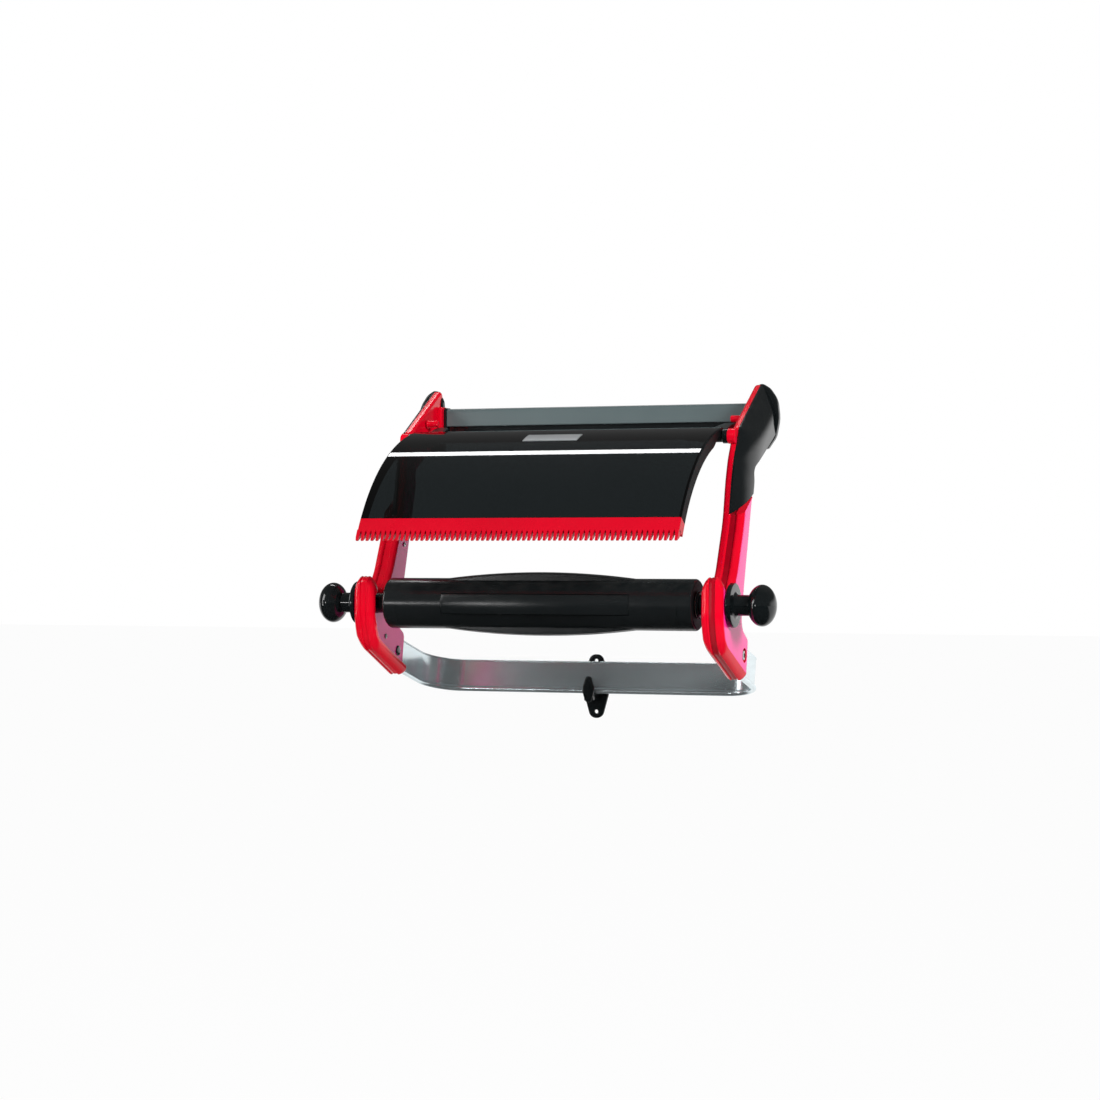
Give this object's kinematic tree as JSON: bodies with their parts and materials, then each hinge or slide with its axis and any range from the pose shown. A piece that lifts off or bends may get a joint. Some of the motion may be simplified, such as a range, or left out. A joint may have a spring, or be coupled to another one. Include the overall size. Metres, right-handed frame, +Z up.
{
  "type": "paper roll dispenser",
  "caption": "Wall-hung holder for a large paper roll, with side arms, a lift-out spindle with sprung grips, a hinged hood with a tear-off edge and a support strap.",
  "frame": {"origin": "middle of the wall rail, on the wall's surface", "axes": "+X along the spindle, +Y into the wall, +Z up"},
  "size_m": [0.6388, 0.3321, 0.4605],
  "materials": {
    "red_shell": "gloss",
    "red_cutter": "gloss",
    "black_gloss": "gloss",
    "smoke_hood": "gloss",
    "black_satin": "satin",
    "black_body": "satin",
    "plated_steel": "plated",
    "strap_metal": "polished",
    "plate_metal": "brushed",
    "bush_nylon": "satin"
  },
  "bodies": {
    "frame": {"wall_rail": "plated_steel", "rail_cover": "black_gloss", "rail_ear_screws": "plated_steel", "left_arm_inner": "red_shell", "left_arm_outer": "red_shell", "left_top_cover": "black_gloss", "left_end_plate": "black_gloss", "left_arm_screws": "plated_steel", "right_arm_inner": "red_shell", "right_arm_outer": "red_shell", "right_top_cover": "black_gloss", "right_end_plate": "black_gloss", "right_arm_screws": "plated_steel", "hinge_rod": "plated_steel", "hinge_washers": "plated_steel", "stop_pegs": "red_shell", "support_strap": "strap_metal", "strap_bolts": "plated_steel", "strap_nuts": "plated_steel", "nut_caps": "black_gloss", "wall_hook": "black_satin"},
    "hood": {"hood_shell": "smoke_hood", "left_hood_bracket": "black_satin", "right_hood_bracket": "black_satin", "hood_rivets": "plated_steel", "cutter_strip": "red_cutter", "blank_plate": "plate_metal"},
    "spindle": {"spindle_axle": "black_body", "axle_collars": "black_body", "left_knob": "black_gloss", "right_knob": "black_gloss"},
    "core": {"core_tube": "black_body", "left_end_cap": "black_body", "right_end_cap": "black_body", "left_bush": "bush_nylon", "right_bush": "bush_nylon"},
    "top_grip": {"top_grip": "black_body"},
    "front_grip": {"front_grip": "black_body"},
    "bottom_grip": {"bottom_grip": "black_body"},
    "back_grip": {"back_grip": "black_body"}
  },
  "joints": [
    {"name": "hood_pivot", "type": "hinge", "parent": "frame", "child": "hood", "pos_m": [0, -0.129, -0.03], "axis": [-1, 0, 0], "range_deg": [0, 80]},
    {"name": "spindle_lift", "type": "slide", "parent": "frame", "child": "spindle", "axis": [0, 0, 1], "range_m": [0, 0.06]},
    {"name": "core_spin", "type": "hinge", "parent": "spindle", "child": "core", "pos_m": [0, -0.224, -0.252], "axis": [1, 0, 0], "continuous": true},
    {"name": "top_grip_press", "type": "slide", "parent": "core", "child": "top_grip", "axis": [0, 0, -1], "range_m": [0, 0.006], "stiffness_N_per_m": 1500, "springref_m": -0.003},
    {"name": "front_grip_press", "type": "slide", "parent": "core", "child": "front_grip", "axis": [0, 1, 0], "range_m": [0, 0.006], "stiffness_N_per_m": 1500, "springref_m": -0.003},
    {"name": "bottom_grip_press", "type": "slide", "parent": "core", "child": "bottom_grip", "axis": [0, 0, 1], "range_m": [0, 0.006], "stiffness_N_per_m": 1500, "springref_m": -0.003},
    {"name": "back_grip_press", "type": "slide", "parent": "core", "child": "back_grip", "axis": [0, -1, 0], "range_m": [0, 0.006], "stiffness_N_per_m": 1500, "springref_m": -0.003}
  ]
}
